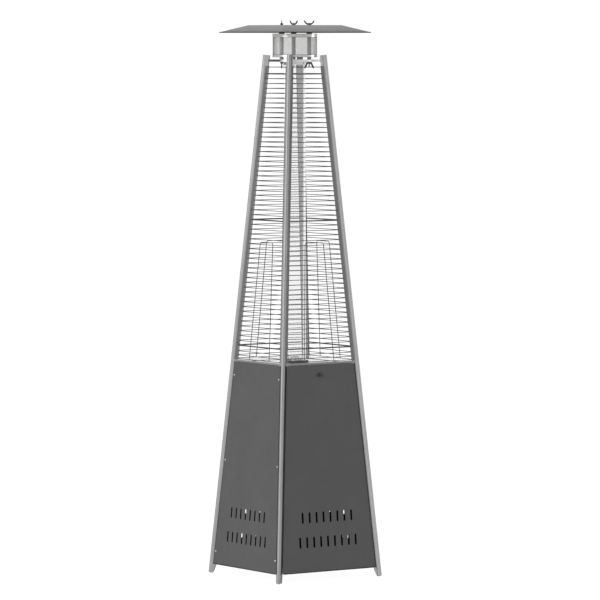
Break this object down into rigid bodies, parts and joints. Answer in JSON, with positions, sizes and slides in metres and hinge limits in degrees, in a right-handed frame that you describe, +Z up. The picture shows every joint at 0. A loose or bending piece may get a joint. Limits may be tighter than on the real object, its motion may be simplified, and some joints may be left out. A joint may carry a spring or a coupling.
{
  "type": "outdoor heater",
  "caption": "Square, tapering gas patio heater: louvred lower cabinet with a drop-down door, caged glass flame tube, flame screen and a square reflector on top.",
  "frame": {"origin": "on the floor, at the centre of the base", "axes": "+Z up, door on the -Y side, wheels on the +Y side"},
  "size_m": [0.509, 0.509, 2.2373],
  "materials": {
    "post_steel": "brushed satin stainless steel",
    "panel_paint": "dark grey powder coat, matte",
    "guard_paint": "dark grey coated wire, satin",
    "reflector_steel": "satin sheet, slightly warm grey",
    "bright_steel": "bright plated steel",
    "tube_glass": "clear heat-proof glass",
    "black_plastic": "black moulded plastic",
    "black_collar": "black heat-proof coating",
    "brass": "machined brass",
    "ceramic": "white ceramic",
    "rubber": "black rubber"
  },
  "bodies": {
    "frame": {"burner_head": "bright_steel", "burner_tray": "post_steel", "control_box": "bright_steel", "cylinder_shelf": "panel_paint", "door_hinge_rod": "bright_steel", "flame_screen": "bright_steel", "foot_glide_back_left": "rubber", "foot_glide_back_right": "rubber", "foot_glide_front_left": "rubber", "foot_glide_front_right": "rubber", "gas_valve": "brass", "glass_base_ring": "black_collar", "glass_top_collar": "bright_steel", "glass_tube": "tube_glass", "guard_back": "guard_paint", "guard_front": "guard_paint", "guard_left": "guard_paint", "guard_loop_back": "guard_paint", "guard_loop_front": "guard_paint", "guard_loop_left": "guard_paint", "guard_loop_right": "guard_paint", "guard_right": "guard_paint", "head_stud_1": "bright_steel", "head_stud_2": "bright_steel", "head_stud_3": "bright_steel", "igniter_electrode": "ceramic", "lower_post_back_left": "post_steel", "lower_post_back_right": "post_steel", "lower_post_front_left": "post_steel", "lower_post_front_right": "post_steel", "lower_wing_nut_1": "bright_steel", "lower_wing_nut_2": "bright_steel", "lower_wing_nut_3": "bright_steel", "panel_back": "panel_paint", "panel_left": "panel_paint", "panel_right": "panel_paint", "reflector": "reflector_steel", "splice_sleeve_back_left": "bright_steel", "splice_sleeve_back_right": "bright_steel", "splice_sleeve_front_left": "bright_steel", "splice_sleeve_front_right": "bright_steel", "supply_pipe": "brass", "thermocouple": "brass", "tilt_switch": "black_plastic", "top_plate": "bright_steel", "upper_post_back_left": "post_steel", "upper_post_back_right": "post_steel", "upper_post_front_left": "post_steel", "upper_post_front_right": "post_steel", "upper_wing_nut_1": "bright_steel", "upper_wing_nut_2": "bright_steel", "upper_wing_nut_3": "bright_steel", "wheel_bracket": "bright_steel"},
    "door": {"door": "panel_paint"},
    "latch": {"door_latch": "black_plastic"},
    "valve_plunger": {"valve_plunger": "brass"},
    "control_knob": {"control_knob": "black_plastic"},
    "igniter_button": {"igniter_button": "black_plastic"},
    "wheel_left": {"wheel_left": "rubber"},
    "wheel_right": {"wheel_right": "rubber"}
  },
  "joints": [
    {"name": "door_hinge", "type": "hinge", "parent": "frame", "child": "door", "pos_m": [0, -0.24136, 0.0385], "axis": [1, 0, 0], "range_deg": [0, 90]},
    {"name": "latch_turn", "type": "hinge", "parent": "door", "child": "latch", "pos_m": [-0.005, -0.18505, 0.82], "axis": [0, -0.9971, 0.0762], "range_deg": [0, 90]},
    {"name": "valve_press", "type": "slide", "parent": "frame", "child": "valve_plunger", "axis": [0, 1, 0], "range_m": [0, 0.004], "stiffness_N_per_m": 600},
    {"name": "valve_turn", "type": "hinge", "parent": "valve_plunger", "child": "control_knob", "pos_m": [-0.025, -0.1422, 0.806], "axis": [0, 1, 0], "range_deg": [0, 130]},
    {"name": "igniter_press", "type": "slide", "parent": "frame", "child": "igniter_button", "axis": [0, 1, 0], "range_m": [0, 0.005], "stiffness_N_per_m": 800},
    {"name": "wheel_left_spin", "type": "hinge", "parent": "frame", "child": "wheel_left", "pos_m": [-0.123, 0.2145, 0.0325], "axis": [1, 0, 0], "continuous": true},
    {"name": "wheel_right_spin", "type": "hinge", "parent": "frame", "child": "wheel_right", "pos_m": [0.123, 0.2145, 0.0325], "axis": [1, 0, 0], "continuous": true}
  ]
}
